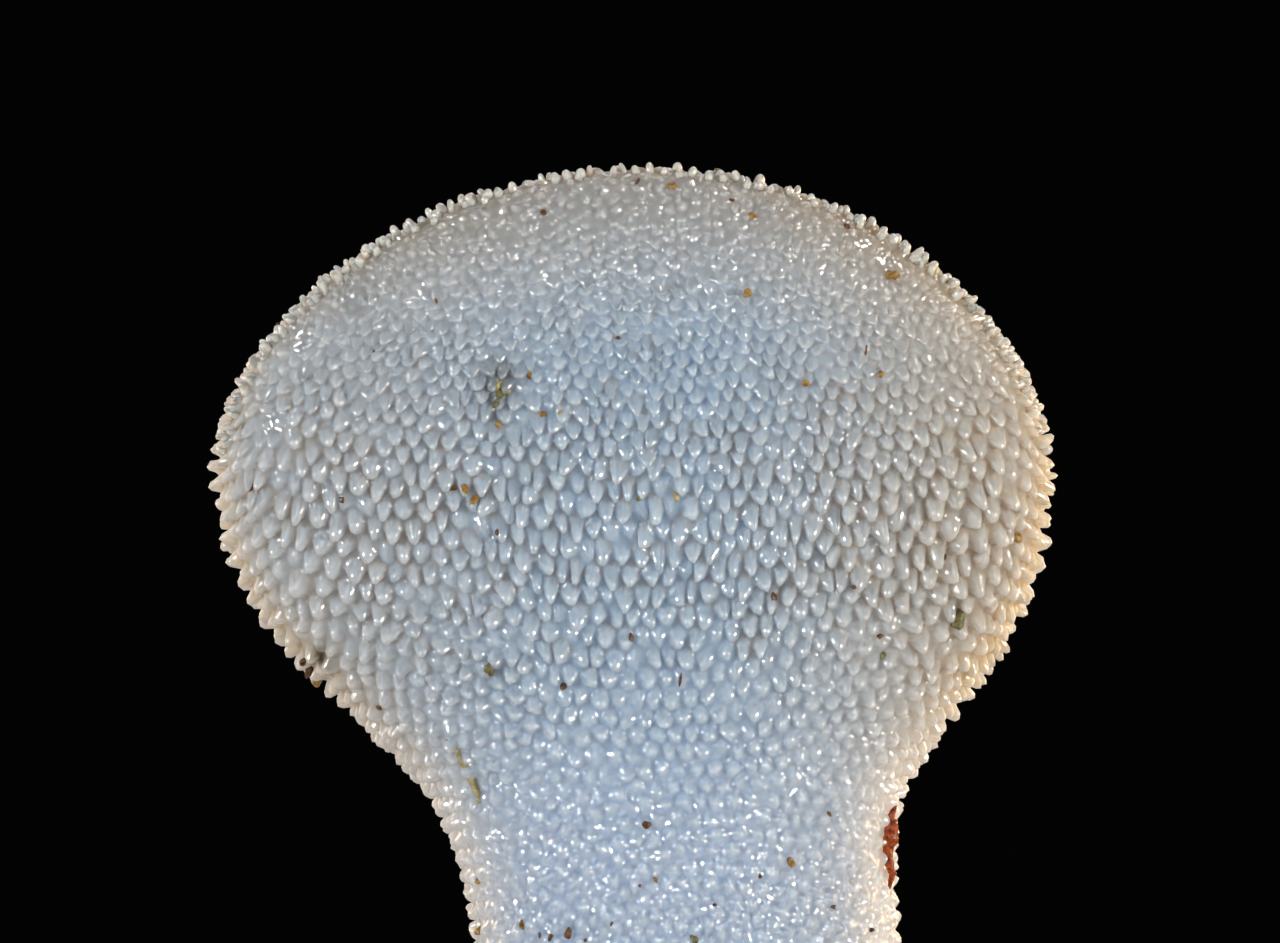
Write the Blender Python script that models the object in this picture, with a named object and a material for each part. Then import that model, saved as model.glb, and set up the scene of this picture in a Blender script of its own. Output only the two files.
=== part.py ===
"""A jelly tooth fungus, picked and cut off flat at the foot of its stem, standing on the cut.

Cap, stem and teeth grew as one jelly, so they are one solid. Lengths here are in millimetres
until the mesh is finished, and +Z is up. The origin is the middle of the cut. The toothed
underside of the cap faces -Y, and its smooth upper side faces +Y.
"""

import bmesh
import bpy
import numpy as np

for old in list(bpy.data.objects):
    bpy.data.objects.remove(old)

METRES_PER_MM = 0.001

# Heights above the cut. The body without its teeth is widest at WIDEST and ends at TOP.
TOP = 46.8
WIDEST = 31.5
BELOW_CUT = 3.0

# The section at each height, as (height, value): half its width, the middle of its width, and
# where its toothed and its smooth face lie. Above WIDEST all of it shrinks towards the top.
HALF_WIDTH = [(-3, 10.4), (9, 10.4), (13, 10.7), (16, 11.5), (20, 14.4), (24, 17.8), (28, 19.8), (31.5, 20.4)]
MIDDLE = [(-3, 0), (9, 0), (14, -0.6), (20, -1.5), (26, -2.3), (32, -2.6), (46, -2.1)]
TOOTHED_FACE = [(-3, -7.1), (10, -6.9), (16, -7.1), (22, -7.9), (28, -9), (34, -10), (40, -10.9), (48, -11.3)]
SMOOTH_FACE = [(-3, 7.1), (10, 6.8), (16, 6.2), (22, 5), (28, 3.4), (34, 1.7), (40, 0.3), (48, -0.7)]

# How square the section is on each face, and how square the dome of the cap is (2 is an ellipse).
TOOTHED_SQUARENESS = 2.6
SMOOTH_SQUARENESS = 2.1
DOME_SQUARENESS = 1.9

# Shallow dents where the stem widens into the cap: middle (x, z), radius and depth.
DENTS = [((-14.5, 26.5), 5.0, 1.2), ((11.5, 25.5), 5.0, 1.1)]

# One tooth stands on each point of a net of triangles. The net is spread coarse and then fine, and
# it is this many times wider on the smooth face than on the toothed one.
COARSE_CUTS = 6
COARSE_TURNS = 40
FINE_CUTS = 1
FINE_TURNS = 12
ROUNDS_IN_A_TURN = 6
DRAWN_FORWARD = 1.4
SMOOTH_TO_TOOTHED = 1.6
WANDER = 0.16
SEED = 7

# How far the teeth stand out of the jelly, how uneven they are, and how far those of the cap hang.
STEM_TOOTH = 0.35
CAP_TOOTH = 1.25
RIM_TOOTH = 0.5
UNEVEN = 0.2
HANG = 0.6

# Heights between which the teeth start above the cut, grow to the cap's, and shrink to the rim's.
TEETH_START = (1.2, 2.2)
STEM_TO_CAP = (12, 22)
CAP_TO_RIM = (37, 43)

# Facing is -1 where the skin faces -Y and 1 where it faces +Y. Between these values the teeth
# shrink to the rim's, then end just behind the outline of the cap, and the net widens.
RIM_FACING = (-0.75, -0.15)
TEETH_END_FACING = (0.1, 0.4)
NET_WIDENS_FACING = (0.1, 0.8)

# Sides shorter than this, which the cut leaves, are closed up.
SHORTEST_SIDE = 0.02

# Steps and lengths too small to matter, for slopes and for dividing by.
SLOPE_STEP = 0.02
TINY = 1e-9

JELLY_COLOUR = (0.50, 0.55, 0.57, 1)
JELLY_ROUGHNESS = 0.22


def rise(limits, value):
    """0 below the lower limit, 1 above the upper one, and smooth between them."""
    low, high = limits
    t = np.clip((value - low) / (high - low), 0, 1)
    return t * t * (3 - 2 * t)


def curve_through(stations, height):
    """The value at each height on a smooth curve through (height, value) stations, with no overshoot."""
    heights, values = np.array(stations, float).T
    steps = np.diff(heights)
    slopes = np.diff(values) / steps
    before, after = slopes[:-1], slopes[1:]
    same_way = before * after > 0
    inner = np.where(same_way, 2 * before * after / np.where(same_way, before + after, 1), 0)
    tangents = np.concatenate([slopes[:1], inner, slopes[-1:]])
    height = np.clip(height, heights[0], heights[-1])
    i = np.clip(np.searchsorted(heights, height) - 1, 0, len(steps) - 1)
    t = (height - heights[i]) / steps[i]
    start = values[i] * (1 + 2 * t) * (1 - t) ** 2 + tangents[i] * steps[i] * t * (1 - t) ** 2
    end = values[i + 1] * t**2 * (3 - 2 * t) - tangents[i + 1] * steps[i] * t**2 * (1 - t)
    return start + end


def section(height):
    """Middle and half size of the full section at each height, along X and along Y."""
    toothed = curve_through(TOOTHED_FACE, height)
    smooth = curve_through(SMOOTH_FACE, height)
    half_width = curve_through(HALF_WIDTH, height)
    return curve_through(MIDDLE, height), half_width, (smooth + toothed) / 2, (smooth - toothed) / 2


def ends(height):
    """0 along the body, rising to 1 at its top, and again at the rounded end below the cut."""
    over = np.clip((height - WIDEST) / (TOP - WIDEST), 0, None)
    under = np.clip(-height / BELOW_CUT, 0, None)
    return over + under


def from_skin(points):
    """Below 0 inside the body without its teeth, 0 on its skin and above 0 outside."""
    x, y, z = points.T
    middle_x, half_x, middle_y, half_y = section(z)
    square = np.where(y < middle_y, TOOTHED_SQUARENESS, SMOOTH_SQUARENESS)
    across = np.abs((x - middle_x) / half_x)
    through = np.abs((y - middle_y) / half_y)
    ring = (across**square + through**square) ** (1 / square)
    return ring**DOME_SQUARENESS + ends(z) ** DOME_SQUARENESS - 1


def slope(points):
    """How fast from_skin rises along X, Y and Z."""
    steps = SLOPE_STEP * np.eye(3)
    columns = [from_skin(points + step) - from_skin(points - step) for step in steps]
    return np.stack(columns, axis=1) / (2 * SLOPE_STEP)


def unit(vectors):
    return vectors / np.linalg.norm(vectors, axis=1, keepdims=True)


def corners_of(net):
    """The indices of the three corners of each triangle."""
    net.verts.index_update()
    return np.array([[vert.index for vert in face.verts] for face in net.faces])


def places_of(verts):
    return np.array([vert.co for vert in verts])


def place_at(verts, places):
    for vert, place in zip(verts, places):
        vert.co = place


def onto_skin(points, rounds=3):
    """Each point moved straight to the skin."""
    for _ in range(rounds):
        steep = slope(points)
        points = points - steep * (from_skin(points) / (steep**2).sum(axis=1))[:, None]
    return points


def around_the_body(ball):
    """Points of a ball, drawn towards -Y, and then laid round the body at their own height."""
    # Drawn about -Y as a ball's map is rescaled, so small triangles keep their shape.
    half_angle = np.arccos(np.clip(-ball[:, 1], -1, 1)) / 2
    drawn = 2 * np.arctan(np.tan(half_angle) / DRAWN_FORWARD)
    sideways = unit(ball[:, [0, 2]] + TINY)
    x, z = (sideways * np.sin(drawn)[:, None]).T
    y = -np.cos(drawn)
    height = (TOP + BELOW_CUT) * (z + 1) / 2 - BELOW_CUT
    middle_x, half_x, middle_y, half_y = section(height)
    ring = np.sqrt(np.clip(1 - ends(height) ** 2, 0, 1)) / np.maximum(np.hypot(x, y), TINY)
    return onto_skin(np.stack([middle_x + half_x * ring * x, middle_y + half_y * ring * y, height], axis=1))


def spread(net, points, turns):
    """The net slid over the skin until its triangles are as large as their place asks.

    After some rounds, each side between two triangles is turned where the other diagonal suits better.
    """
    for _ in range(turns):
        corners = corners_of(net)
        for _ in range(ROUNDS_IN_A_TURN):
            facing = unit(slope(points))[:, 1]
            wanted = 1 + (SMOOTH_TO_TOOTHED - 1) * rise(NET_WIDENS_FACING, facing)
            a, b, c = (points[corners[:, i]] for i in range(3))
            area = np.linalg.norm(np.cross(b - a, c - a), axis=1)
            weight = area / wanted[corners].mean(axis=1) ** 3
            pull = np.zeros_like(points)
            total = np.zeros(len(points))
            for i in range(3):
                np.add.at(pull, corners[:, i], (weight / 3)[:, None] * (a + b + c))
                np.add.at(total, corners[:, i], weight)
            points = onto_skin(pull / total[:, None], rounds=1)
        place_at(net.verts, points)
        bmesh.ops.beautify_fill(net, faces=net.faces[:], edges=net.edges[:], method="ANGLE")
    place_at(net.verts, onto_skin(points))


def net_over_the_body():
    """A closed net of triangles on the skin, spread coarse first, and then cut finer and spread again."""
    net = bmesh.new()
    bmesh.ops.create_icosphere(net, subdivisions=1, radius=1)
    bmesh.ops.subdivide_edges(net, edges=net.edges[:], cuts=COARSE_CUTS, use_grid_fill=True)
    spread(net, around_the_body(unit(places_of(net.verts))), COARSE_TURNS)
    bmesh.ops.subdivide_edges(net, edges=net.edges[:], cuts=FINE_CUTS, use_grid_fill=True)
    spread(net, onto_skin(places_of(net.verts)), FINE_TURNS)
    return net


def tooth_length(points, facing):
    """How far the tooth at each point of the skin stands out."""
    height = points[:, 2]
    on_cap = rise(STEM_TO_CAP, height)
    length = STEM_TOOTH + (CAP_TOOTH - STEM_TOOTH) * on_cap
    near_rim = np.maximum(rise(CAP_TO_RIM, height), rise(RIM_FACING, facing) * on_cap)
    length = length + (RIM_TOOTH - length) * near_rim
    return length * (1 - rise(TEETH_END_FACING, facing)) * rise(TEETH_START, height)


def dented(points, facing):
    """The skin with its dents pressed in on the toothed face."""
    inward = np.zeros(len(points))
    for (x, z), radius, depth in DENTS:
        away = np.hypot(points[:, 0] - x, points[:, 2] - z) / radius
        inward += depth * np.exp(-(away**2))
    return points + (inward * np.clip(-facing, 0, 1))[:, None] * np.array([0, 1, 0])


def raise_teeth(net, rng):
    """One six-sided tooth on each point of the net, on the toothed face alone."""
    tips = net.verts[:]
    bases = places_of(tips)
    outward = unit(slope(bases))
    facing = outward[:, 1]
    ends_facing = max(TEETH_END_FACING)
    toothed = [face for face in net.faces if np.mean([facing[v.index] for v in face.verts]) < ends_facing]
    kept_whole = set(net.faces) - set(toothed)
    between_teeth = [edge for edge in net.edges if not kept_whole.intersection(edge.link_faces)]
    valleys = bmesh.ops.poke(net, faces=toothed)["verts"]
    bmesh.ops.rotate_edges(net, edges=between_teeth)
    hang = HANG * np.clip(-facing, 0, 1) * rise(STEM_TO_CAP, bases[:, 2])
    along = unit(outward - hang[:, None] * np.array([0, 0, 1]))
    length = tooth_length(bases, facing) * rng.uniform(1 - UNEVEN, 1 + UNEVEN, len(bases))
    place_at(tips, dented(bases, facing) + along * length[:, None])
    floor = onto_skin(places_of(valleys))
    place_at(valleys, dented(floor, unit(slope(floor))[:, 1]))


def cut_off(net):
    """The flat cut at the foot of the stem, filled."""
    everything = net.verts[:] + net.edges[:] + net.faces[:]
    bmesh.ops.bisect_plane(net, geom=everything, plane_co=(0, 0, 0), plane_no=(0, 0, -1), clear_outer=True)
    rim = [edge for edge in net.edges if edge.is_boundary]
    for edge in rim:
        for vert in edge.verts:
            vert.co.z = 0
    bmesh.ops.contextual_create(net, geom=rim)
    bmesh.ops.dissolve_degenerate(net, dist=SHORTEST_SIDE, edges=net.edges[:])


def jelly_material():
    material = bpy.data.materials.new("jelly")
    material.use_nodes = True
    surface = material.node_tree.nodes["Principled BSDF"]
    surface.inputs["Base Color"].default_value = JELLY_COLOUR
    surface.inputs["Roughness"].default_value = JELLY_ROUGHNESS
    surface.inputs["Metallic"].default_value = 0
    return material


def fruiting_body():
    rng = np.random.default_rng(SEED)
    net = net_over_the_body()
    points = places_of(net.verts)
    place_at(net.verts, onto_skin(points + rng.uniform(-WANDER, WANDER, points.shape)))
    raise_teeth(net, rng)
    cut_off(net)
    bmesh.ops.recalc_face_normals(net, faces=net.faces[:])
    bmesh.ops.scale(net, vec=(METRES_PER_MM,) * 3, verts=net.verts[:])
    mesh = bpy.data.meshes.new("fruiting_body")
    net.to_mesh(mesh)
    net.free()
    mesh.materials.append(jelly_material())
    body = bpy.data.objects.new("fruiting_body", mesh)
    bpy.context.collection.objects.link(body)
    return body


fruiting_body()
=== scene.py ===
import math

import bmesh
import bpy
import numpy as np
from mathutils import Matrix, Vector
from mathutils.bvhtree import BVHTree


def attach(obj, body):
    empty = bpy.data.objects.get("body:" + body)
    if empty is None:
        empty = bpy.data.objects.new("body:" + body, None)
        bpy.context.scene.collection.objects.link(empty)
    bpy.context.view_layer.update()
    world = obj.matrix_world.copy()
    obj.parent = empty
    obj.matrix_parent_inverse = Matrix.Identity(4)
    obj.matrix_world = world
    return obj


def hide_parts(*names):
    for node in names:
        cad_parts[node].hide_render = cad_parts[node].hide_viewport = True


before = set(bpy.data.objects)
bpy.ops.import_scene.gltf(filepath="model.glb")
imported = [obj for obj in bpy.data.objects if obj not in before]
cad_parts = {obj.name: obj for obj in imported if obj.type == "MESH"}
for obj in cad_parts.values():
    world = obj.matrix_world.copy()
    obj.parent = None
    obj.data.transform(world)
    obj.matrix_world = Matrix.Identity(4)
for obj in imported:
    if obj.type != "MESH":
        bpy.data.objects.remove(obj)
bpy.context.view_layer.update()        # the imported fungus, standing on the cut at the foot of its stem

mm = 0.001
up = np.array([0, 0, 1])
print("frame loaded")

# The body of the fungus without its teeth, in millimetres above the cut, as the solid has it.
# A station is (height, value). Facing is -1 where the skin faces the viewer and 1 at the back.
body = {
    "top": 46.8,
    "widest": 31.5,
    "belowCut": 3.0,
    "halfWidth": [
        (-3, 10.4), (9, 10.4), (13, 10.7), (16, 11.5), (20, 14.4), (24, 17.8), (28, 19.8), (31.5, 20.4),
    ],
    "middle": [(-3, 0), (9, 0), (14, -0.6), (20, -1.5), (26, -2.3), (32, -2.6), (46, -2.1)],
    "toothedFace": [
        (-3, -7.1), (10, -6.9), (16, -7.1), (22, -7.9), (28, -9.0), (34, -10.0), (40, -10.9), (48, -11.3),
    ],
    "smoothFace": [
        (-3, 7.1), (10, 6.8), (16, 6.2), (22, 5.0), (28, 3.4), (34, 1.7), (40, 0.3), (48, -0.7),
    ],
    "toothedSquareness": 2.6,
    "smoothSquareness": 2.1,
    "domeSquareness": 1.9,
    "dents": [((-14.5, 26.5), 5.0, 1.2), ((11.5, 25.5), 5.0, 1.1)],   # ((x, z), radius, depth)
}

# Teeth stand on the points of a net of triangles, and each triangle is then cut finely.
net = {
    "coarseCuts": 9,
    "coarseTurns": 40,
    "fineCuts": 2,
    "fineTurns": 14,
    "roundsInATurn": 6,
    "drawnForward": 1.5,
    "stemSize": 0.76,        # size of the net's triangles, as shares of those on the cap's middle
    "rimSize": 0.7,
    "topSize": 0.62,
    "finerTowardTop": (27, 39),
    "backSize": 2.6,
    "widensFacing": (0.3, 0.8),
    "wander": 0.26,
    "surfaceCuts": 5,
    "seed": 11,
}

# Lengths are in mm, and a pair of limits is what its share rises between: heights in mm, or facings.
teeth = {
    "stem": 0.33,
    "cap": 0.85,
    "rim": 0.62,
    "top": 0.26,
    "stemToCap": (12, 31),
    "capToRim": (38.5, 45),
    "rimDroop": 0.012,       # how much lower the smooth top begins per mm squared to either side
    "rimFacing": (-0.96, -0.55),
    "shorterUpward": (29, 39, 0.32),   # from height to height, and the share then taken off
    "startHeight": (1.0, 2.2),         # no teeth below the first, and none past the last facing
    "endFacing": (0.15, 0.5),
    "uneven": 0.22,
    "smallShare": 0.14,
    "smallLength": 0.5,
    "hang": 1.05,            # how far a tooth's axis turns down from the skin, and leans at random
    "lean": 0.19,
    "reach": (0.42, 0.54),   # a tooth's radius, as a share of the way to its neighbours
    "rimReach": 0.8,         # near the rim and on the stem, as a share of that
    "stemReach": 0.9,
    "tipRoundness": (3.0, 3.5),        # on the stem, on the cap
    "flankSteepness": (1.3, 1.8),
    "drowned": 0.6,          # share of their length that the wet patches hide
    "wetFacing": 0.2,
    "wetEdge": (0.8, 1.2),   # as shares of a patch's radius
    "wetPatches": [          # ((x, z), radius)
        ((-16.3, 40.2), 0.9), ((-18.9, 38.4), 0.9), ((10.2, 42.2), 1.1), ((8.6, 43.0), 0.6),
        ((3.6, 44.6), 0.45), ((5.5, 44.1), 0.5), ((-20.3, 34.0), 0.6),
    ],
}

# Where each colour and the sheen show. Limits are heights, x or facings, and a third value is a share.
tints = {
    "toothedBelow": 0.3,               # the toothed side's skin faces less than this
    "gapLength": (0.3, 0.9),           # painted shade in the gaps comes in as the teeth beside them grow this long
    "stemHeight": (10, 24),
    # The cream share is partly the jelly's warmer thin margins and partly painted warm backlight, strongest
    # on the right.
    "creamFacing": (-1.0, -0.2),
    "creamSide": (-14, 16),
    "creamLeft": 0.65,                 # share left of that
    "creamRight": (0, 15, 0.5),
    "creamOnLeft": (3, 18, 0.3),
    "creamAbove": (37, 45, 0.38),
    "creamFades": (-0.35, 0.35, 0.6),  # less cream again toward the back
    "stemWhiter": 0.5,
    "paleFacing": (-0.98, -0.5),       # the stem is whiter where it turns away; the extra white on the right is painted light
    "paleSide": (-8, 8),
    "paleLeft": 0.35,
    "granulesAbove": (36, 41, 0.75),   # fine granules catch the light here, as they do on the stem
    "granulesFacing": (0.3, 0),
    "tipSheen": 0.5,                   # the sheen on the teeth lies on their tips
    "tipHeight": (0.3, 0.55),
    "leastTooth": 0.1,
    "stemSheenFacing": (0.5, 0.1),
    "stains": [                        # ((x, z), radius, strength)
        ((-9.0, 35.9), 1.1, 0.6), ((-9.2, 34.4), 0.6, 0.4), ((-18.0, 22.9), 0.5, 0.95),
        ((-17.6, 22.4), 0.35, 0.8),
    ],
}


# 0 below the lower limit, 1 above the upper one, and 3t^2 - 2t^3 between them.
def rise(limits, value):
    low, high = limits
    t = np.clip((value - low) / (high - low), 0, 1)
    return t * t * (3 - 2 * t)


# A cubic through the stations whose slope at each is the harmonic mean of its neighbours' slopes.
def curveThrough(stations, height):
    heights, values = np.array(stations, float).T
    steps = np.diff(heights)
    slopes = np.diff(values) / steps
    before, after = slopes[:-1], slopes[1:]
    sameWay = before * after > 0
    inner = np.where(sameWay, 2 * before * after / np.where(sameWay, before + after, 1), 0)
    tangents = np.concatenate([slopes[:1], inner, slopes[-1:]])
    height = np.clip(height, heights[0], heights[-1])
    i = np.clip(np.searchsorted(heights, height) - 1, 0, len(steps) - 1)
    t = (height - heights[i]) / steps[i]
    start = values[i] * (1 + 2 * t) * (1 - t) ** 2 + tangents[i] * steps[i] * t * (1 - t) ** 2
    end = values[i + 1] * t**2 * (3 - 2 * t) - tangents[i + 1] * steps[i] * t**2 * (1 - t)
    return start + end


# Middle and half size of the full section at each height, along X and along Y.
def section(height):
    toothed = curveThrough(body["toothedFace"], height)
    smooth = curveThrough(body["smoothFace"], height)
    halfWidth = curveThrough(body["halfWidth"], height)
    return curveThrough(body["middle"], height), halfWidth, (smooth + toothed) / 2, (smooth - toothed) / 2


# 0 along the body, rising to 1 at its top and at the rounded end below the cut.
def ends(height):
    over = np.clip((height - body["widest"]) / (body["top"] - body["widest"]), 0, None)
    under = np.clip(-height / body["belowCut"], 0, None)
    return over + under


# (|x/a|^n + |y/b|^n)^(m/n) across, plus how far into the rounded end to the power m, less 1. It is 0 on
# the skin. n is the section's squareness, and m the dome's.
def fromSkin(points):
    x, y, z = points.T
    middleX, halfX, middleY, halfY = section(z)
    square = np.where(y < middleY, body["toothedSquareness"], body["smoothSquareness"])
    across = np.abs((x - middleX) / halfX)
    through = np.abs((y - middleY) / halfY)
    ring = (across**square + through**square) ** (1 / square)
    return ring ** body["domeSquareness"] + ends(z) ** body["domeSquareness"] - 1


# How fast fromSkin grows along X, Y and Z: its change over a step either way.
def slope(points, step=0.02):
    columns = [fromSkin(points + step * axis) - fromSkin(points - step * axis) for axis in np.eye(3)]
    return np.stack(columns, axis=1) / (2 * step)


# Each vector over its own length.
def unit(vectors):
    return vectors / np.maximum(np.linalg.norm(vectors, axis=1, keepdims=True), 1e-12)


# Newton's step along the slope: each point moves straight to the skin.
def ontoSkin(points, rounds=3):
    for _ in range(rounds):
        steep = slope(points)
        points = points - steep * (fromSkin(points) / (steep**2).sum(axis=1))[:, None]
    return points


# The skin with its shallow dents pressed in: depth times exp(-(distance / radius)^2).
def dented(points, facing):
    inward = np.zeros(len(points))
    for (x, z), radius, depth in body["dents"]:
        away = np.hypot(points[:, 0] - x, points[:, 2] - z) / radius
        inward += depth * np.exp(-(away**2))
    return points + (inward * np.clip(-facing, 0, 1))[:, None] * np.array([0, 1, 0])


# Each triangle becomes a grid in two parameters, cuts steps along each side. A new point is a
# weighted mean of the triangle's corners, and points on a shared side are made once.
def cutTriangles(corners, cuts):
    steps = np.array([(i, j, cuts - i - j) for i in range(cuts + 1) for j in range(cuts + 1 - i)])
    place = {tuple(step[:2]): n for n, step in enumerate(steps.tolist())}
    upright = [(place[i, j], place[i + 1, j], place[i, j + 1]) for i, j in place if i + j < cuts]
    flipped = [(place[i + 1, j], place[i + 1, j + 1], place[i, j + 1]) for i, j in place if i + j < cuts - 1]
    small = np.array(upright + flipped)
    sources = np.repeat(corners[:, None, :], len(steps), axis=1).reshape(-1, 3)
    weights = np.tile(steps, (len(corners), 1))
    pairs = np.where(weights > 0, sources * (cuts + 1) + weights, 0)
    pairs.sort(axis=1)
    base = int(pairs.max()) + 1
    key = (pairs[:, 0] * base + pairs[:, 1]) * base + pairs[:, 2]
    _, first, merged = np.unique(key, return_index=True, return_inverse=True)
    offsets = np.arange(len(corners)) * len(steps)
    triangles = merged.ravel()[(offsets[:, None, None] + small[None]).reshape(-1, 3)]
    return sources[first], weights[first] / cuts, triangles


# Each fine point's value: the sum of its corners' values times their weights.
def blendCorners(values, sources, weights):
    return (values[sources] * weights[:, :, None]).sum(axis=1)


# The twelve points (0, 1, g), (1, g, 0), (g, 0, 1) with all signs, g the golden ratio.
def icosahedron():
    golden = (1 + math.sqrt(5)) / 2
    signs = [(a, b) for a in (-1, 1) for b in (-1, 1)]
    points = [(0, a, b * golden) for a, b in signs]
    points += [(a, b * golden, 0) for a, b in signs]
    points += [(a * golden, 0, b) for a, b in signs]
    points = np.array(points)
    apart = np.linalg.norm(points[:, None] - points[None], axis=2)
    near = np.abs(apart - 2) < 0.01
    count = len(points)
    triangles = [
        (a, b, c)
        for a in range(count)
        for b in range(a + 1, count)
        for c in range(b + 1, count)
        if near[a, b] and near[b, c] and near[a, c]
    ]
    triangles = np.array(triangles)
    a, b, c = (points[triangles[:, i]] for i in range(3))
    inward = (np.cross(b - a, c - a) * (a + b + c)).sum(axis=1) < 0
    triangles[inward] = triangles[inward][:, ::-1]
    return unit(points), triangles


# A ball's points drawn about -Y, as tan of the half angle over a constant, then laid round the body.
def aroundTheBody(ball):
    halfAngle = np.arccos(np.clip(-ball[:, 1], -1, 1)) / 2
    drawn = 2 * np.arctan(np.tan(halfAngle) / net["drawnForward"])
    x, z = (unit(ball[:, [0, 2]]) * np.sin(drawn)[:, None]).T
    y = -np.cos(drawn)
    height = (body["top"] + body["belowCut"]) * (z + 1) / 2 - body["belowCut"]
    middleX, halfX, middleY, halfY = section(height)
    ring = np.sqrt(np.clip(1 - ends(height) ** 2, 0, 1)) / np.maximum(np.hypot(x, y), 1e-9)
    return ontoSkin(np.stack([middleX + halfX * ring * x, middleY + halfY * ring * y, height], axis=1))


# 0 on the cap's face, 1 on the smooth top, whose lower edge droops with the square of the way sideways.
def topness(points):
    middle = curveThrough(body["middle"], points[:, 2])
    return rise(teeth["capToRim"], points[:, 2] + teeth["rimDroop"] * (points[:, 0] - middle) ** 2)


# How large the triangles should be at each point: small on the stem, at the rim and toward the top.
def wantedSize(points, facing):
    height = points[:, 2]
    size = net["stemSize"] + (1 - net["stemSize"]) * rise(teeth["stemToCap"], height)
    nearRim = rise(teeth["rimFacing"], facing) * rise(teeth["stemToCap"], height)
    upward = rise(net["finerTowardTop"], height)
    rimSize = net["rimSize"] + (net["topSize"] - net["rimSize"]) * upward
    size = size + (rimSize - size) * np.maximum(nearRim, upward)
    return size + (net["backSize"] - size) * rise(net["widensFacing"], facing)


# Sides between two triangles are turned where the surface then bends less across them.
def turnSides(points, corners):
    mesh = bpy.data.meshes.new("net")
    mesh.from_pydata(points.tolist(), [], corners.tolist())
    surface = bmesh.new()
    surface.from_mesh(mesh)
    bmesh.ops.beautify_fill(surface, faces=surface.faces[:], edges=surface.edges[:], method="ANGLE")
    surface.to_mesh(mesh)
    surface.free()
    turned = np.empty(len(mesh.polygons) * 3, np.int64)
    mesh.polygons.foreach_get("vertices", turned)
    bpy.data.meshes.remove(mesh)
    return turned.reshape(-1, 3)


# Each point goes to the mean of the triangles round it, weighted by area over wanted size cubed, and
# back onto the skin. After some rounds of this the triangles' sides are turned.
def spread(points, corners, turns):
    for _ in range(turns):
        flat = corners.ravel(order="F")
        for _ in range(net["roundsInATurn"]):
            wanted = wantedSize(points, unit(slope(points))[:, 1])
            a, b, c = (points[corners[:, i]] for i in range(3))
            area = np.linalg.norm(np.cross(b - a, c - a), axis=1)
            weight = area / wanted[corners].mean(axis=1) ** 3
            middle = (a + b + c) / 3
            total = np.bincount(flat, np.tile(weight, 3), len(points))
            pull = [np.bincount(flat, np.tile(weight * middle[:, k], 3), len(points)) for k in range(3)]
            points = ontoSkin(np.stack(pull, axis=1) / total[:, None], rounds=1)
        corners = turnSides(points, corners)
    return ontoSkin(points), corners


# The places of the teeth: a coarse net spread over the skin, cut once more and spread again.
def toothNet():
    ball, corners = icosahedron()
    sources, weights, corners = cutTriangles(corners, net["coarseCuts"])
    points = aroundTheBody(unit(blendCorners(ball, sources, weights)))
    points, corners = spread(points, corners, net["coarseTurns"])
    sources, weights, corners = cutTriangles(corners, net["fineCuts"])
    return spread(ontoSkin(blendCorners(points, sources, weights)), corners, net["fineTurns"])


# Length of the tooth at each site, by its place on the body and how its skin faces.
def toothLength(sites, facing):
    height = sites[:, 2]
    onCap = rise(teeth["stemToCap"], height)
    length = teeth["stem"] + (teeth["cap"] - teeth["stem"]) * onCap
    length = length + (teeth["rim"] - length) * rise(teeth["rimFacing"], facing) * onCap
    low, high, shorter = teeth["shorterUpward"]
    length = length * (1 - shorter * rise((low, high), height) * (1 - rise(teeth["rimFacing"], facing)))
    length = length + (teeth["top"] - length) * topness(sites)
    return length * (1 - rise(teeth["endFacing"], facing)) * rise(teeth["startHeight"], height)


# 1 in the wet patches near the rim, falling to 0 outside them.
def inWetPatches(points):
    share = np.zeros(len(points))
    for (x, z), radius in teeth["wetPatches"]:
        away = np.hypot(points[:, 0] - x, points[:, 2] - z) / radius
        share = np.maximum(share, 1 - rise(teeth["wetEdge"], away))
    return share


# Where the teeth stand, the triangles between them, and each one's axis, length and reach.
def toothPlan():
    rng = np.random.default_rng(net["seed"])
    sites, corners = toothNet()
    wander = net["wander"] * np.minimum(wantedSize(sites, unit(slope(sites))[:, 1]), 1)
    sites = ontoSkin(sites + wander[:, None] * rng.uniform(-1, 1, sites.shape))
    outward = unit(slope(sites))
    facing = outward[:, 1]
    onCap = rise(teeth["stemToCap"], sites[:, 2])
    hang = teeth["hang"] * np.clip(-facing, 0, 1) * onCap
    axis = unit(outward - hang[:, None] * up + rng.normal(0, teeth["lean"], sites.shape))
    length = toothLength(sites, facing) * rng.uniform(1 - teeth["uneven"], 1 + teeth["uneven"], len(sites))
    length = np.where(rng.random(len(sites)) < teeth["smallShare"], length * teeth["smallLength"], length)
    length = length * (1 - teeth["drowned"] * inWetPatches(sites) * (facing < teeth["wetFacing"]))
    nearRim = np.maximum(rise(teeth["rimFacing"], facing), topness(sites))
    reach = rng.uniform(*teeth["reach"], len(sites)) * (1 + (teeth["rimReach"] - 1) * nearRim)
    reach = reach * (1 + (teeth["stemReach"] - 1) * (1 - onCap))
    return sites, corners, axis, length, reach


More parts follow.
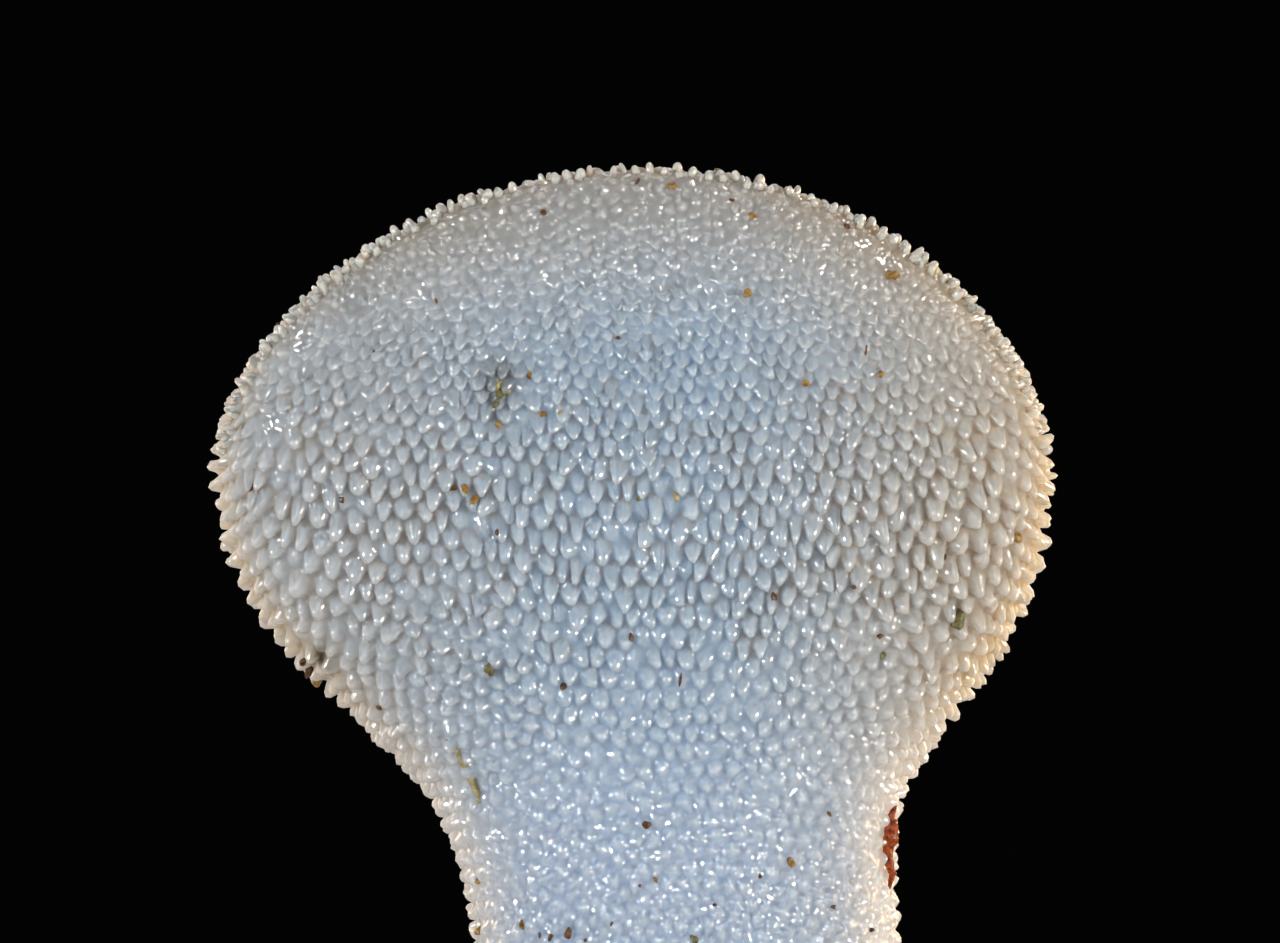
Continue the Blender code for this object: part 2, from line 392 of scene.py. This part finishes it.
# What the material reads at each point: how much of each colour and of the sheen it has, from 0 to 1.
def skinShares(points, facing, height, length):
    x, z = points[:, 0], points[:, 2]
    toothed = facing < tints["toothedBelow"]
    stem = 1 - rise(tints["stemHeight"], z)
    # Cream: warmer thin margins, plus painted warm backlight that is strongest on the right.
    onRight = rise(tints["creamSide"], x)
    blue = 1 - rise(tints["creamFacing"], facing) * (tints["creamLeft"] + (1 - tints["creamLeft"]) * onRight)
    for limits, value in (("creamRight", x), ("creamOnLeft", -x), ("creamAbove", z)):
        low, high, most = tints[limits]
        blue = blue * (1 - most * rise((low, high), value))
    low, high, most = tints["creamFades"]
    creamAndWarmLight = (1 - blue) * (1 - tints["stemWhiter"] * stem) * (1 - most * rise((low, high), facing))
    # Pale: whiter stem sides, with painted light making the right side whiter still.
    onPaleSide = tints["paleLeft"] + (1 - tints["paleLeft"]) * rise(tints["paleSide"], x)
    stain = np.zeros(len(points))
    for (stainX, stainZ), radius, strength in tints["stains"]:
        away = np.hypot(x - stainX, z - stainZ) / radius
        stain = np.maximum(stain, strength * np.exp(-(away**2)) * toothed)
    wet = inWetPatches(points) * toothed
    low, high, most = tints["granulesAbove"]
    granules = np.maximum(stem, most * rise((low, high), z) * rise(tints["granulesFacing"], facing))
    granules = granules * (1 - teeth["drowned"] * wet)
    tips = tints["tipSheen"] * rise(tints["tipHeight"], height) * (length > tints["leastTooth"])
    sheens = [tips, stem * rise(tints["stemSheenFacing"], facing), wet, granules * toothed]
    return {
        # toothness below 1 brings in painted shade in the gaps between the teeth
        "toothness": 1 - (1 - height) * rise(tints["gapLength"], length),
        "facing": facing,
        "stem": stem,
        "creamAndWarmLight": creamAndWarmLight,
        "paleAndLit": stem * rise(tints["paleFacing"], facing) * onPaleSide,
        "stain": stain,
        "granules": granules,
        "sheen": np.max(sheens, axis=0),
    }


# The whole skin with its teeth. Each fine point belongs to the nearest site, and rises along that
# site's tooth by length times (1 - (distance / reach)^tipRoundness)^flankSteepness.
def jellySurface():
    sites, corners, axis, length, reach = toothPlan()
    sources, weights, triangles = cutTriangles(corners, net["surfaceCuts"])
    order = np.argsort(-weights, axis=1)
    sources = np.take_along_axis(sources, order, axis=1)
    weights = np.take_along_axis(weights, order, axis=1)
    owner = sources[:, 0]
    second, third = weights[:, 1], weights[:, 2]
    distance = np.sqrt(second**2 + third**2 + second * third)
    share = np.clip(distance / reach[owner], 0, 1)
    onCap = rise(teeth["stemToCap"], sites[:, 2])[owner]
    pairs = (teeth["tipRoundness"], teeth["flankSteepness"])
    roundness, steepness = (low + (high - low) * onCap for low, high in pairs)
    height = (1 - share**roundness) ** steepness
    skin = ontoSkin(blendCorners(sites, sources, weights))
    facing = unit(slope(skin))[:, 1]
    points = dented(skin, facing) + axis[owner] * (length[owner] * height)[:, None]
    points[:, 2] = np.maximum(points[:, 2], 0)
    grown = int((length > tints["leastTooth"]).sum())
    print("teeth on the toothed side:", grown, " triangles:", len(triangles))
    return points, triangles, skinShares(points, facing, height, length[owner])


# A smooth piece from points in mm, with each attribute's value at every point.
def meshPiece(name, points, triangles, attributes=None):
    mesh = bpy.data.meshes.new(name)
    mesh.from_pydata((points * mm).tolist(), [], triangles.tolist())
    mesh.polygons.foreach_set("use_smooth", np.ones(len(mesh.polygons), bool))
    for label, values in (attributes or {}).items():
        layer = mesh.attributes.new(label, "FLOAT", "POINT")
        layer.data.foreach_set("value", np.asarray(values, np.float32))
    mesh.update()
    piece = bpy.data.objects.new(name, mesh)
    bpy.context.collection.objects.link(piece)
    return piece


# An sRGB hex value as linear colour: ((c + 0.055) / 1.055)^2.4 above 0.04045.
def linear(hexColour):
    parts = [int(hexColour[i:i + 2], 16) / 255 for i in (1, 3, 5)]
    return tuple(c / 12.92 if c <= 0.04045 else ((c + 0.055) / 1.055) ** 2.4 for c in parts) + (1,)


# Gives a node's sockets their values, and their links from other nodes' sockets.
def fill(tree, node, values=None, links=None):
    for socket, value in (values or {}).items():
        node.inputs[socket].default_value = value
    for socket, source in (links or {}).items():
        tree.links.new(source, node.inputs[socket])


# Adds a node: settings are its own fields, values and links fill its sockets.
def addNode(tree, kind, settings=None, values=None, links=None):
    node = tree.nodes.new(kind)
    for field, value in (settings or {}).items():
        setattr(node, field, value)
    fill(tree, node, values, links)
    return node


# Mixes two colours by a share. Each is a hex value, or the colour of another node.
def mixed(tree, share, first, second):
    node = addNode(tree, "ShaderNodeMix", {"data_type": "RGBA"}, links={"Factor": share})
    for socket, colour in (("A", first), ("B", second)):
        if isinstance(colour, str):
            fill(tree, node, {socket: linear(colour)})
        else:
            fill(tree, node, links={socket: colour})
    return node.outputs["Result"]


# A value stretched from the first pair of limits to the second, and held inside them.
def stretched(tree, value, before, after=(0, 1), kind="LINEAR"):
    limits = {"From Min": before[0], "From Max": before[1], "To Min": after[0], "To Max": after[1]}
    node = addNode(tree, "ShaderNodeMapRange", {"interpolation_type": kind}, limits, {"Value": value})
    return node.outputs["Result"]


# Noise whose lumps are sizeMm across, in the piece's own coordinates.
def noise(tree, place, sizeMm, detail, roughness=0.5):
    values = {"Scale": 1 / (sizeMm * mm), "Detail": detail, "Roughness": roughness}
    return addNode(tree, "ShaderNodeTexNoise", values=values, links={"Vector": place}).outputs["Fac"]


# A new material, its nodes, and its surface shader.
def newMaterial(name):
    material = bpy.data.materials.new(name)
    material.use_nodes = True
    return material, material.node_tree, material.node_tree.nodes["Principled BSDF"]


jelly = {
    # painted shade: a darker grey where the gaps between the teeth are deep
    "gapShade": "#b4bcc4",
    "tooth": "#b4c7d9",
    "toothFrom": (0, 0.5),            # toothness from all painted gap shade to all tooth
    "stem": "#bed1e8",
    # a cream tint, partly painted warm backlight
    "creamAndWarmLight": "#ccb38c",
    # a near white for the stem's sides, partly painted light on the right
    "paleAndLit": "#f0eeea",
    "stain": "#4f4528",
    "cloudMm": 3.0,                   # soft clouds shift the colours from painted gap shade to tooth
    "cloudDetail": 3,
    "cloudContrast": (0.3, 0.7),
    "cloudShift": (-0.25, 0.1),
    "back": "#c9c5be",
    "backFacing": (-0.1, 0.8),
    "backPatch": "#b3a795",
    "patchMm": 7.0,
    "patchDetail": (6, 0.65),
    "patchContrast": (0.4, 0.68),
    "backGrain": "#ab9f8e",
    "grainMm": 0.3,
    "grainDetail": 3,
    "grainContrast": (0.45, 0.75),
    "grainDepthMm": 0.2,
    "velvet": (0.2, 1.0),             # share of that depth on the toothed side and on the back
    "granuleMm": 0.55,
    "granulePower": 2.0,
    "granuleDepthMm": 0.06,           # in the jelly, and in its sheen
    "sheenDepthMm": 0.23,
    "radius": (1.0, 0.8, 0.7),        # how far light wanders in the jelly, as shares of scaleMm
    "scaleMm": 3.2,
    "roughness": 0.45,
    "ior": 1.38,                      # jelly is nearly all water
    "bareShine": 0.12,                # the gel under its wet sheen hardly reflects
    "sheenRoughness": 0.13,
    "sheenIor": 2.9,                  # above a real one's, so that its glints show at the picture's size
}


# Fungus jelly is a wet, cloudy gel: light that wanders in it comes back bluish, and cream where it is thin,
# with painted warm backlight.
def wetJelly():
    material, tree, surface = newMaterial("wetJelly")
    shares = ("toothness", "facing", "stem", "creamAndWarmLight", "paleAndLit", "stain", "granules", "sheen")
    readers = {name: addNode(tree, "ShaderNodeAttribute", {"attribute_name": name}) for name in shares}
    given = {name: reader.outputs["Fac"] for name, reader in readers.items()}
    place = addNode(tree, "ShaderNodeTexCoord").outputs["Object"]
    cloud = noise(tree, place, jelly["cloudMm"], jelly["cloudDetail"])
    shift = stretched(tree, cloud, jelly["cloudContrast"], jelly["cloudShift"])
    clouded = addNode(tree, "ShaderNodeMath", {"operation": "ADD", "use_clamp": True},
                      links={0: given["toothness"], 1: shift}).outputs["Value"]
    raised = stretched(tree, clouded, jelly["toothFrom"])
    # Painted shade: the gaps between the teeth take the darker grey.
    colour = mixed(tree, raised, jelly["gapShade"], jelly["tooth"])
    # Cream holds painted warm backlight, and pale holds painted light on the stem's right side.
    for name in ("stem", "creamAndWarmLight", "paleAndLit"):
        colour = mixed(tree, given[name], colour, jelly[name])

    patches = noise(tree, place, jelly["patchMm"], *jelly["patchDetail"])
    grain = noise(tree, place, jelly["grainMm"], jelly["grainDetail"])
    back = mixed(tree, stretched(tree, patches, jelly["patchContrast"]), jelly["back"], jelly["backPatch"])
    back = mixed(tree, stretched(tree, grain, jelly["grainContrast"]), back, jelly["backGrain"])
    onBack = stretched(tree, given["facing"], jelly["backFacing"], kind="SMOOTHSTEP")
    colour = mixed(tree, onBack, colour, back)
    colour = mixed(tree, given["stain"], colour, jelly["stain"])

    velvet = addNode(tree, "ShaderNodeBump", values={"Distance": jelly["grainDepthMm"] * mm},
                     links={"Height": grain, "Strength": stretched(tree, onBack, (0, 1), jelly["velvet"])})
    cells = addNode(tree, "ShaderNodeTexVoronoi", values={"Scale": 1 / (jelly["granuleMm"] * mm)},
                    links={"Vector": place})
    dome = addNode(tree, "ShaderNodeMath", {"operation": "POWER"}, {1: jelly["granulePower"]},
                   {0: cells.outputs["Distance"]}).outputs["Value"]
    soft = addNode(tree, "ShaderNodeBump", {"invert": True}, {"Distance": jelly["granuleDepthMm"] * mm},
                   {"Height": dome, "Strength": given["stem"], "Normal": velvet.outputs["Normal"]})
    crisp = addNode(tree, "ShaderNodeBump", {"invert": True}, {"Distance": jelly["sheenDepthMm"] * mm},
                    {"Height": dome, "Strength": given["granules"]})
    values = {
        "Subsurface Weight": 1.0,
        "Subsurface Radius": jelly["radius"],
        "Subsurface Scale": jelly["scaleMm"] * mm,
        "Roughness": jelly["roughness"],
        "IOR": jelly["ior"],
        "Specular IOR Level": jelly["bareShine"],
        "Coat Roughness": jelly["sheenRoughness"],
        "Coat IOR": jelly["sheenIor"],
    }
    links = {
        "Base Color": colour,
        "Normal": soft.outputs["Normal"],
        "Coat Weight": given["sheen"],
        "Coat Normal": crisp.outputs["Normal"],
    }
    fill(tree, surface, values, links)
    return material


points, triangles, given = jellySurface()
fungus = meshPiece("jelly_fungus", points, triangles, given)
fungus.data.materials.append(wetJelly())
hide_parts("fruiting_body")
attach(fungus, "root")
print("fungus made")

# Clear round-ended nubs that stand close together along the top of the rim.
nubs = {
    "along": (-74, 74),      # degrees round the body from straight up
    "across": (-30, 16),     # degrees forward (-) and back from the outline
    "alongCount": 98,
    "acrossCount": 14,
    "jitter": 0.42,          # as a share of the step
    "radius": (0.18, 0.3),   # mm
    "length": (0.3, 0.6),
    "sunk": 0.12,
    "lean": 0.22,
    "sides": 6,
    "profile": [(0.0, 1.0), (0.35, 0.97), (0.72, 0.82), (0.93, 0.48)],   # shares of length and radius
    "sideways": (0.3, 1.0, 0.2),
    "seed": 5,
    "facing": (-0.6, 0.35),  # where on the body they stand
    "above": 33.0,
    "colours": ("#f8ead0", "#dfe3e4"),
    "cloudMm": 2.0,
    "cloudDetail": 2,
    "clearness": 0.15,
    "scaleMm": 0.4,
    "roughness": 0.12,
}


# One rounded cone per place: rings of the profile turned about its axis, with a tip and a sunk base.
def rimNubs():
    rng = np.random.default_rng(nubs["seed"])
    along, across = np.meshgrid(np.linspace(*nubs["along"], nubs["alongCount"]),
                                np.linspace(*nubs["across"], nubs["acrossCount"]))
    alongStep = np.ptp(nubs["along"]) / nubs["alongCount"]
    acrossStep = np.ptp(nubs["across"]) / nubs["acrossCount"]
    about = np.radians(along.ravel() + alongStep * nubs["jitter"] * rng.uniform(-1, 1, along.size))
    forward = np.radians(across.ravel() + acrossStep * nubs["jitter"] * rng.uniform(-1, 1, across.size))
    ball = [np.sin(about) * np.cos(forward), np.sin(forward), np.cos(about) * np.cos(forward)]
    foot = aroundTheBody(np.stack(ball, axis=1))
    outward = unit(slope(foot))
    low, high = nubs["facing"]
    kept = (outward[:, 1] > low) & (outward[:, 1] < high) & (foot[:, 2] > nubs["above"])
    foot, outward = foot[kept], outward[kept]
    axis = unit(outward + rng.normal(0, nubs["lean"], foot.shape))
    sideways = unit(np.cross(axis, nubs["sideways"]))
    other = np.cross(axis, sideways)
    count, sides = len(foot), nubs["sides"]
    length = rng.uniform(*nubs["length"], count)[:, None, None]
    radius = rng.uniform(*nubs["radius"], count)[:, None, None]
    turn = np.linspace(0, 2 * np.pi, sides, endpoint=False)
    circle = sideways[:, None] * np.cos(turn)[:, None] + other[:, None] * np.sin(turn)[:, None]
    foot, axis = foot[:, None], axis[:, None]
    rows = [foot - axis * nubs["sunk"]]
    for share, width in nubs["profile"]:
        rows.append(foot + axis * (share * (length + nubs["sunk"]) - nubs["sunk"]) + circle * radius * width)
    rows.append(foot + axis * length)
    points = np.concatenate(rows, axis=1)
    rings = len(nubs["profile"])
    tip = 1 + rings * sides
    near = np.arange(sides)
    after = (near + 1) % sides
    faces = [np.stack([0 * near, 1 + after, 1 + near], axis=1)]
    for ring in range(rings - 1):
        low, high = 1 + ring * sides, 1 + (ring + 1) * sides
        faces.append(np.stack([low + near, low + after, high + after], axis=1))
        faces.append(np.stack([low + near, high + after, high + near], axis=1))
    faces.append(np.stack([tip - sides + near, tip - sides + after, 0 * near + tip], axis=1))
    firsts = np.arange(count) * points.shape[1]
    return points.reshape(-1, 3), (np.concatenate(faces)[None] + firsts[:, None, None]).reshape(-1, 3)


# Clearer jelly than the cap's: some light passes straight through, and the rest glows softly inside it.
def clearJelly():
    material, tree, surface = newMaterial("clearJelly")
    place = addNode(tree, "ShaderNodeTexCoord").outputs["Object"]
    colour = mixed(tree, noise(tree, place, nubs["cloudMm"], nubs["cloudDetail"]), *nubs["colours"])
    values = {
        "Transmission Weight": nubs["clearness"],
        "Subsurface Weight": 1.0,
        "Subsurface Radius": jelly["radius"],
        "Subsurface Scale": nubs["scaleMm"] * mm,
        "Roughness": nubs["roughness"],
        "IOR": jelly["ior"],
        "Coat Weight": 1.0,
        "Coat Roughness": jelly["sheenRoughness"],
        "Coat IOR": jelly["sheenIor"],
    }
    fill(tree, surface, values, {"Base Color": colour})
    return material


rimPiece = meshPiece("rim_nubs", *rimNubs())
rimPiece.data.materials.append(clearJelly())
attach(rimPiece, "root")
print("rim nubs made:", len(rimPiece.data.polygons), "triangles")

studio = {
    "frameCentre": (-2.25, 0, 32.4),   # mm
    "cameraHeight": 8.0,
    "cameraDistance": 280.0,
    "seenWidth": 64.0,                 # how much the picture takes in at the stem
    "sensor": 36.0,
    "nearest": 0.01,                   # m
    "backdrop": 0.001,
    "floor": "#d8d6d0",
    "floorRoughness": 0.8,
    "floorHalf": 600,
    "floorHeight": -0.02,
}
cameraPlace = (studio["frameCentre"][0], -studio["cameraDistance"], studio["cameraHeight"])

# Crumbs lie where the picture shows them: (across, down, width) in its pixels, or with how many times
# longer than wide they are as a fourth value.
dirt = {
    "pictureSize": (1280, 943),
    "cuts": 3,
    "lumpiness": 0.44,
    "waviness": 2.2,
    "phase": (0, 6),
    "flatness": 0.6,
    "stretch": (0.9, 1.3),
    "longWay": (0.2, 0.3, 1.0),   # a long crumb lies along this
    "nearer": 3.0,           # mm before the body's middle, where skin is looked for beside its outline
    "seed": 3,
}
pixelMm = studio["seenWidth"] / dirt["pictureSize"][0]

ochreGrit = {
    "material": "ochreSand",
    "colours": ("#7a5420", "#b8924e"),
    "places": [
        (892, 276, 12), (752, 216, 8), (748, 293, 7), (882, 373, 7), (806, 383, 7), (543, 414, 7),
        (498, 425, 7), (529, 376, 8), (465, 489, 8), (474, 500, 8), (453, 488, 6), (791, 862, 9),
        (522, 924, 7, 2), (672, 186, 10), (1017, 537, 10), (724, 171, 11, 1.6), (478, 881, 8),
        (478, 931, 7), (317, 682, 12), (655, 880, 5),
    ],
}

sandGrit = {
    "material": "paleSand",
    "colours": ("#8f7c42", "#cdbb7c"),
    "places": [
        (500, 385, 8, 1.6), (508, 392, 6), (560, 412, 5), (676, 497, 7, 1.6), (640, 498, 6), (479, 801, 5),
    ],
}

oliveGrit = {
    "material": "greenSoil",
    "colours": ("#4d4a26", "#8a8350"),
    "places": [
        (489, 670, 12), (958, 618, 14, 1.5), (883, 656, 6), (501, 392, 9, 1.5), (694, 939, 9), (495, 404, 8),
    ],
}

brownGrit = {
    "material": "brownSoil",
    "colours": ("#2a1a10", "#7c5430"),
    "places": [
        (774, 597, 6, 1.8), (563, 686, 8), (631, 637, 6, 1.4), (544, 212, 7), (374, 351, 5), (436, 301, 5),
        (277, 325, 7), (252, 487, 7, 1.8), (342, 500, 6), (497, 532, 6), (379, 708, 6), (847, 226, 7),
        (732, 200, 5), (638, 181, 4, 3), (866, 351, 3, 4), (880, 636, 5), (680, 680, 3, 4), (854, 587, 4),
        (945, 557, 5), (829, 814, 6), (646, 825, 7), (760, 876, 5), (833, 907, 6), (569, 933, 7, 1.6),
        (550, 938, 5, 2), (928, 261, 8, 1.8), (618, 338, 4), (309, 668, 9, 2), (612, 924, 4), (715, 905, 4),
        (872, 930, 5), (640, 886, 4), (585, 940, 4), (540, 935, 4, 2), (303, 662, 6, 1.5),
    ],
}

# Strips run through (across, down, half width) in the picture's pixels.
strips = {
    "rings": 56,
    "sides": 12,
    "thickness": 0.6,        # as a share of the half width
    "ragged": 0.22,
    "waves": (2, 9),
    "phase": (0, 6),
    "notches": 0.35,
    "smoothing": 4,
    "depthSmoothing": 200,   # far more from front to back, so that a strip bridges the gaps between teeth
    "seed": 8,
}

barkFlake = {
    "material": "wetBark",
    "colours": ("#4a1004", "#d4600f"),
    "spine": [(902, 814, 1.5), (900, 821, 6), (899, 829, 8), (900, 838, 7.5), (898, 847, 7), (898, 855, 5),
              (899, 866, 4.5), (901, 877, 4), (902, 889, 1)],
}

paleSmear = {
    "material": "driedSmear",
    "colours": ("#9b8f62", "#c0b68c"),
    "spine": [(446, 739, 1), (452, 745, 3), (459, 755, 3.6), (465, 766, 4), (471, 778, 4), (475, 788, 4.6),
              (479, 797, 3), (480, 802, 1)],
}


# From the camera through a place of the picture: straight ahead, and across and down by its share.
def throughPicture(across, down):
    camera = np.array(cameraPlace)
    forward = unit((np.array(studio["frameCentre"]) - camera)[None])[0]
    right = unit(np.cross(forward, up)[None])[0]
    wide, high = dirt["pictureSize"]
    aim = forward * studio["cameraDistance"] + right * (across - wide / 2) * pixelMm
    return camera, unit((aim - np.cross(right, forward) * (down - high / 2) * pixelMm)[None])[0]


# Where the line of sight through a place of the picture meets the skin, or passes nearest to it.
def onTheSkin(across, down, tree):
    camera, aim = throughPicture(across, down)
    hit, normal, _, _ = tree.ray_cast(Vector(camera), Vector(aim))
    if hit is None:
        beside = camera + aim * (studio["cameraDistance"] - dirt["nearer"])
        hit, normal, _, _ = tree.find_nearest(Vector(beside))
    hit, normal = np.array(hit), np.array(normal)
    return hit, -normal if normal.dot(aim) > 0 else normal, aim


# A ball whose radius is 1 plus three slow waves in turned directions, pressed flat on the skin.
def crumbPiece(name, crumbs, tree, skin):
    rng = np.random.default_rng(dirt["seed"] + len(name))
    ball, corners = icosahedron()
    sources, weights, faces = cutTriangles(corners, dirt["cuts"])
    ball = unit(blendCorners(ball, sources, weights))
    allPoints, allFaces = [], []
    for across, down, width, *longer in crumbs["places"]:
        hit, normal, _ = onTheSkin(across, down, tree)
        waves = rng.normal(0, dirt["waviness"], (3, 3))
        swell = np.sin(ball @ waves.T + rng.uniform(*dirt["phase"], 3)).mean(axis=1)
        shape = ball * (1 + dirt["lumpiness"] * swell)[:, None]
        side = unit(np.cross(normal, dirt["longWay"] if longer else rng.normal(0, 1, 3))[None])[0]
        stretch = longer[0] if longer else rng.uniform(*dirt["stretch"])
        size = np.array([1.0, stretch, dirt["flatness"]]) * width * pixelMm / 2
        allPoints.append(hit + (shape * size) @ np.stack([side, np.cross(normal, side), normal]))
        allFaces.append(faces + len(ball) * len(allFaces))
    piece = meshPiece(name, np.concatenate(allPoints), np.concatenate(allFaces))
    piece.data.materials.append(skin)
    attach(piece, "root")


# A flat tube along a smoothed spine, wide across the picture, whose width wavers along and round it.
def stripPiece(name, strip, tree, skin):
    rng = np.random.default_rng(strips["seed"] + len(name))
    across, down, width = np.array(strip["spine"], float).T
    places = np.linspace(0, len(across) - 1, strips["rings"])
    across, down, width = (np.interp(places, np.arange(len(across)), row) for row in (across, down, width))
    found = [onTheSkin(x, y, tree) for x, y in zip(across, down)]
    middle, normal, aim = (np.array([one[i] for one in found]) for i in range(3))
    for _ in range(strips["smoothing"]):
        middle[1:-1] = (middle[:-2] + middle[1:-1] + middle[2:]) / 3
        normal[1:-1] = (normal[:-2] + normal[1:-1] + normal[2:]) / 3
    depth = middle[:, 1]
    for _ in range(strips["depthSmoothing"]):
        depth = np.concatenate([depth[:1], depth, depth[-1:]])
        depth = (depth[:-2] + depth[1:-1] + depth[2:]) / 3
    middle[:, 1] = depth
    right = unit(np.cross(aim, up))
    out = unit(normal - right * (normal * right).sum(axis=1)[:, None])
    turn = np.linspace(0, 2 * np.pi, strips["sides"], endpoint=False)
    waves = np.sin(places[:, None] * rng.uniform(*strips["waves"], 3) + rng.uniform(*strips["phase"], 3))
    notches = rng.normal(0, strips["notches"], (len(places), strips["sides"]))
    ragged = 1 + strips["ragged"] * (waves.mean(axis=1)[:, None] + notches)
    radius = (width * pixelMm)[:, None] * ragged
    points = middle[:, None] + right[:, None] * (np.cos(turn) * radius)[:, :, None]
    points += out[:, None] * (np.sin(turn) * radius * strips["thickness"])[:, :, None]
    ring, near = np.meshgrid(np.arange(len(places) - 1), np.arange(strips["sides"]), indexing="ij")
    after = (near + 1) % strips["sides"]
    a, b = (ring * strips["sides"] + one for one in (near, after))
    c, d = (one + strips["sides"] for one in (b, a))
    sides = np.concatenate([np.stack(three, axis=-1).reshape(-1, 3) for three in ((a, b, c), (a, c, d))])
    fan = np.arange(1, strips["sides"] - 1)
    last = (len(places) - 1) * strips["sides"]
    foot = np.stack([0 * fan, fan + 1, fan], axis=1)
    top = np.stack([0 * fan + last, fan + last, fan + 1 + last], axis=1)
    piece = meshPiece(name, points.reshape(-1, 3), np.concatenate([sides, foot, top]))
    piece.data.materials.append(skin)
    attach(piece, "root")


wetSoil = {
    "speckleMm": 0.2,
    "speckleDetail": 4,
    "contrast": (0.35, 0.65),
    "bumpStrength": 0.6,
    "bumpMm": 0.05,
    "glow": 0.15,
    "radius": (1.0, 0.6, 0.3),
    "scaleMm": 0.3,
    "roughness": 0.35,
}


# Soil grit and bark: wet, dull mineral or wood, with a little light coming through its thin edges.
def wetGrit(name, colours):
    material, tree, surface = newMaterial(name)
    place = addNode(tree, "ShaderNodeTexCoord").outputs["Object"]
    speckle = noise(tree, place, wetSoil["speckleMm"], wetSoil["speckleDetail"])
    colour = mixed(tree, stretched(tree, speckle, wetSoil["contrast"]), *colours)
    depth = {"Strength": wetSoil["bumpStrength"], "Distance": wetSoil["bumpMm"] * mm}
    bump = addNode(tree, "ShaderNodeBump", values=depth, links={"Height": speckle})
    values = {
        "Subsurface Weight": wetSoil["glow"],
        "Subsurface Radius": wetSoil["radius"],
        "Subsurface Scale": wetSoil["scaleMm"] * mm,
        "Roughness": wetSoil["roughness"],
    }
    fill(tree, surface, values, {"Base Color": colour, "Normal": bump.outputs["Normal"]})
    return material


skinTree = BVHTree.FromPolygons(points.tolist(), triangles.tolist())
grits = {"ochre_grit": ochreGrit, "sand_grit": sandGrit, "olive_grit": oliveGrit, "brown_grit": brownGrit}
for name, crumbs in grits.items():
    crumbPiece(name, crumbs, skinTree, wetGrit(crumbs["material"], crumbs["colours"]))
for name, strip in (("bark_flake", barkFlake), ("pale_smear", paleSmear)):
    stripPiece(name, strip, skinTree, wetGrit(strip["material"], strip["colours"]))
print("grit made")

# Position and size in mm, strength in watts, spread in degrees and colour of each lamp; all aim at the cap.
lamps = {
    "front": ((-10, -290, 60), 160, 0.12, 180, "#e8f0ff"),
    "leftFlash": ((-217, -180, 32), 20, 0.037, 60, "#fbfdff"),
    "rightFlash": ((232, -150, 22), 20, 0.046, 60, "#fff6ea"),
    "leftHigh": ((-203, -54, 219), 18, 0.07, 180, "#ffffff"),
    "rightHigh": ((137, -51, 269), 18, 0.13, 180, "#fff8f0"),
    "backFill": ((0, 240, 330), 200, 0.3, 180, "#eef2ff"),
    "leftRim": ((-170, 120, 60), 90, 0.14, 180, "#ffe4c4"),
    "rightRim": ((170, 120, 60), 90, 0.18, 180, "#ffdcb4"),
}


# A lamp or camera at a place in mm, its -Z turned toward the middle of the picture.
def aimed(name, data, position):
    thing = bpy.data.objects.new(name, data)
    thing.location = Vector(position) * mm
    toward = Vector(studio["frameCentre"]) * mm - thing.location
    thing.rotation_euler = toward.to_track_quat("-Z", "Y").to_euler()
    bpy.context.scene.collection.objects.link(thing)
    return thing


# The lamps, the low camera in front, a nearly black surround and a pale floor under the cut.
def makeStudio():
    scene = bpy.context.scene
    for name, (position, size, power, spreadAngle, colour) in lamps.items():
        light = bpy.data.lights.new(name, "AREA")
        light.size = size * mm
        light.energy = power
        light.spread = math.radians(spreadAngle)
        light.color = linear(colour)[:3]
        aimed(name, light, position)
    lens = bpy.data.cameras.new("camera")
    lens.sensor_width = studio["sensor"]
    lens.lens = studio["sensor"] * studio["cameraDistance"] / studio["seenWidth"]
    lens.clip_start = studio["nearest"]
    scene.camera = aimed("camera", lens, cameraPlace)
    world = bpy.data.worlds.new("studio")
    world.use_nodes = True
    background = world.node_tree.nodes["Background"]
    fill(world.node_tree, background, {"Color": (1, 1, 1, 1), "Strength": studio["backdrop"]})
    scene.world = world
    scene.view_settings.view_transform = "Standard"
    half = studio["floorHalf"]
    corners = [(x * half, y * half, studio["floorHeight"]) for x, y in ((-1, -1), (1, -1), (1, 1), (-1, 1))]
    floor = meshPiece("floor", np.array(corners), np.array([(0, 1, 2), (0, 2, 3)]))
    material, tree, surface = newMaterial("paleFloor")
    fill(tree, surface, {"Base Color": linear(studio["floor"]), "Roughness": studio["floorRoughness"]})
    floor.data.materials.append(material)


makeStudio()
print("studio made")
